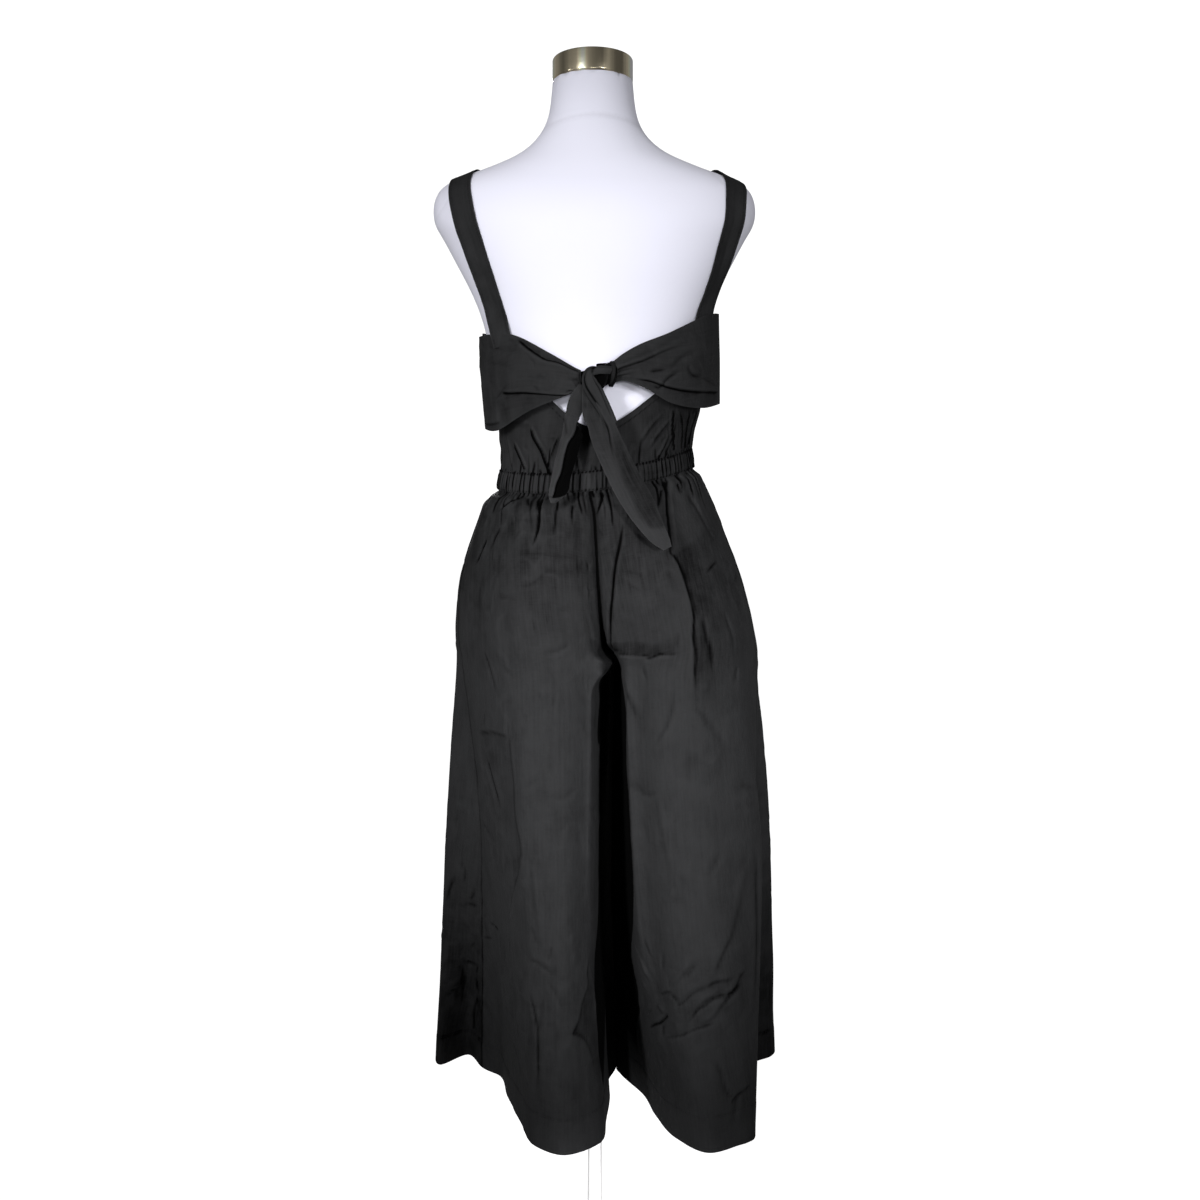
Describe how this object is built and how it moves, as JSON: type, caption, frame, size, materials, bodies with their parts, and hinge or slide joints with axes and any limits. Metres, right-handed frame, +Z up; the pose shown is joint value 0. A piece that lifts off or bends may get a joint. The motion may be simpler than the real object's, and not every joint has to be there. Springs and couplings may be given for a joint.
{
  "type": "jumpsuit on dress form",
  "caption": "Wide-leg cropped jumpsuit with a gathered elastic waist, shoulder straps and an open back tied in a bow, worn by a limbless dress form on a pole and disc base.",
  "frame": {"origin": "on the floor, at the centre of the disc base's underside and under the middle of the dress form", "axes": "+Z up the pole and the form; the back of the garment and the form faces -Y, the front +Y; the wearer's left is -X"},
  "size_m": [0.4601, 0.3747, 1.5578],
  "materials": {
    "black_poplin": "matt black plain-woven cotton with a faint sheen",
    "white_jersey": "white knitted cover, stretched smooth over the form",
    "brushed_cap": "satin brushed steel",
    "white_paint": "semi-gloss white powder coat"
  },
  "bodies": {
    "root": {"form_torso": "white_jersey", "neck_cap": "brushed_cap", "pole": "white_paint", "base_disc": "white_paint", "waistband": "black_poplin", "back_bodice": "black_poplin", "front_bodice": "black_poplin", "strap_left": "black_poplin", "strap_right": "black_poplin", "tie_left": "black_poplin", "tie_right": "black_poplin", "tie_knot": "black_poplin", "tail_long": "black_poplin", "tail_short": "black_poplin", "trouser_back_left": "black_poplin", "trouser_back_right": "black_poplin", "trouser_front_left": "black_poplin", "trouser_front_right": "black_poplin"}
  },
  "joints": []
}
